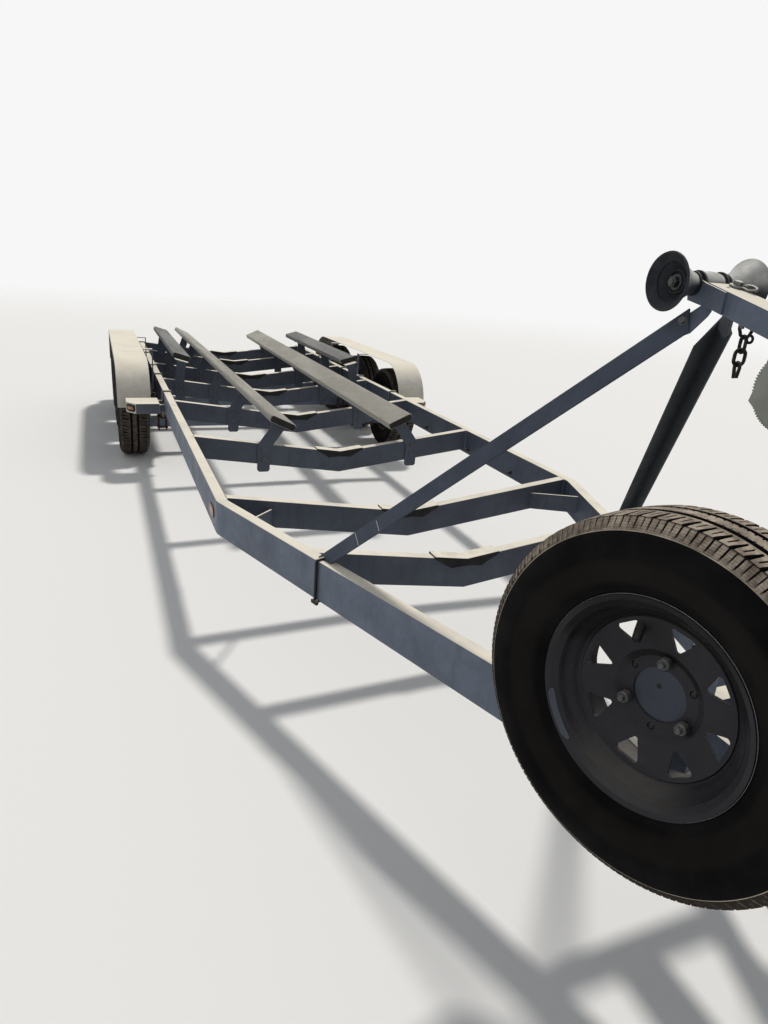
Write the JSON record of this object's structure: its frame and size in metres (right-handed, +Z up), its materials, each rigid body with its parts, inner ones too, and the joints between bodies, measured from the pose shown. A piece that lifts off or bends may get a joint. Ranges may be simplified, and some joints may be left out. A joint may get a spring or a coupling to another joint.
{
  "type": "boat trailer",
  "caption": "Long galvanised boat trailer with V crossmembers, carpeted bunks, bow stand with winch and roller, tongue spare wheel and swivel jack.",
  "frame": {"origin": "on the ground under the middle of the trailer's box", "axes": "+Y to the rear, +X to the right as seen from the hitch looking back (the side away from the spare wheel), +Z up"},
  "size_m": [2.52, 8.8, 1.682],
  "materials": {
    "galvanised": "weathered hot-dip galvanised",
    "fender_steel": "weathered beige-grey",
    "pad_rubber": "matt black",
    "carpet_light": "worn khaki bunk carpet",
    "carpet_dark": "dark grey bunk carpet",
    "spring_steel": "rusty",
    "tyre": "matt",
    "wheel_paint": "dusty grey-brown galvanised",
    "cap_plastic": "dull grey-blue",
    "lamp_amber": "faded amber",
    "lamp_red": "red lens",
    "winch_paint": "grey-green",
    "jack_zinc": "zinc plated",
    "roller_rubber": "weathered grey-black"
  },
  "bodies": {
    "frame": {"rail_left": "galvanised", "rail_right": "galvanised", "crossmember_1": "galvanised", "crossmember_2": "galvanised", "crossmember_3": "galvanised", "crossmember_4": "galvanised", "crossmember_5": "galvanised", "crossmember_6": "galvanised", "crossmember_7": "galvanised", "crossmember_8": "galvanised", "crossmember_front": "galvanised", "keel_pads": "pad_rubber", "knee_gussets": "galvanised", "tongue_tube": "galvanised", "coupler": "galvanised", "bunk_inner_left": "carpet_light", "bunk_inner_right": "carpet_light", "bunk_outer_left": "carpet_dark", "bunk_outer_right": "carpet_dark", "bunk_brackets_inner": "galvanised", "bunk_brackets_outer": "galvanised", "axles": "galvanised", "leaf_springs": "spring_steel", "spring_hangers": "spring_steel", "equalisers": "spring_steel", "spare_tyre": "tyre", "spare_wheel": "wheel_paint", "spare_cap": "cap_plastic", "spare_carrier": "galvanised", "fender_left": "fender_steel", "fender_right": "fender_steel", "fender_arms": "galvanised", "fender_steps": "galvanised", "marker_lamps": "lamp_amber", "tail_lamps": "lamp_red", "winch_post": "galvanised", "winch_arm": "galvanised", "winch_braces": "galvanised", "winch_frame": "winch_paint", "winch_drum": "winch_paint", "winch_crank": "jack_zinc", "jack_mount": "jack_zinc"},
    "road_wheel_left_1": {"tyre_left_1": "tyre", "wheel_left_1": "wheel_paint"},
    "road_wheel_left_2": {"tyre_left_2": "tyre", "wheel_left_2": "wheel_paint"},
    "road_wheel_left_3": {"tyre_left_3": "tyre", "wheel_left_3": "wheel_paint"},
    "road_wheel_right_1": {"tyre_right_1": "tyre", "wheel_right_1": "wheel_paint"},
    "road_wheel_right_2": {"tyre_right_2": "tyre", "wheel_right_2": "wheel_paint"},
    "road_wheel_right_3": {"tyre_right_3": "tyre", "wheel_right_3": "wheel_paint"},
    "bow_roller": {"bow_roller": "roller_rubber"},
    "jack_body": {"jack_body": "jack_zinc"},
    "jack_leg": {"jack_leg": "jack_zinc"}
  },
  "joints": [
    {"name": "road_wheel_left_1_spin", "type": "hinge", "parent": "frame", "child": "road_wheel_left_1", "pos_m": [-1.143, 1.5, 0.35925], "axis": [1, 0, 0], "continuous": true},
    {"name": "road_wheel_left_2_spin", "type": "hinge", "parent": "frame", "child": "road_wheel_left_2", "pos_m": [-1.143, 2.338, 0.35925], "axis": [1, 0, 0], "continuous": true},
    {"name": "road_wheel_left_3_spin", "type": "hinge", "parent": "frame", "child": "road_wheel_left_3", "pos_m": [-1.143, 3.176, 0.35925], "axis": [1, 0, 0], "continuous": true},
    {"name": "road_wheel_right_1_spin", "type": "hinge", "parent": "frame", "child": "road_wheel_right_1", "pos_m": [1.143, 1.5, 0.35925], "axis": [1, 0, 0], "continuous": true},
    {"name": "road_wheel_right_2_spin", "type": "hinge", "parent": "frame", "child": "road_wheel_right_2", "pos_m": [1.143, 2.338, 0.35925], "axis": [1, 0, 0], "continuous": true},
    {"name": "road_wheel_right_3_spin", "type": "hinge", "parent": "frame", "child": "road_wheel_right_3", "pos_m": [1.143, 3.176, 0.35925], "axis": [1, 0, 0], "continuous": true},
    {"name": "bow_roller_spin", "type": "hinge", "parent": "frame", "child": "bow_roller", "pos_m": [0, -3.052, 1.6145], "axis": [1, 0, 0], "continuous": true},
    {"name": "jack_swivel", "type": "hinge", "parent": "frame", "child": "jack_body", "pos_m": [0.31844, -3.50487, 0.528], "axis": [0.9432, -0.3322, 0], "range_deg": [0, 90]},
    {"name": "jack_leg_slide", "type": "slide", "parent": "jack_body", "child": "jack_leg", "axis": [0, 0, 1], "range_m": [-0.1, 0.228]}
  ]
}
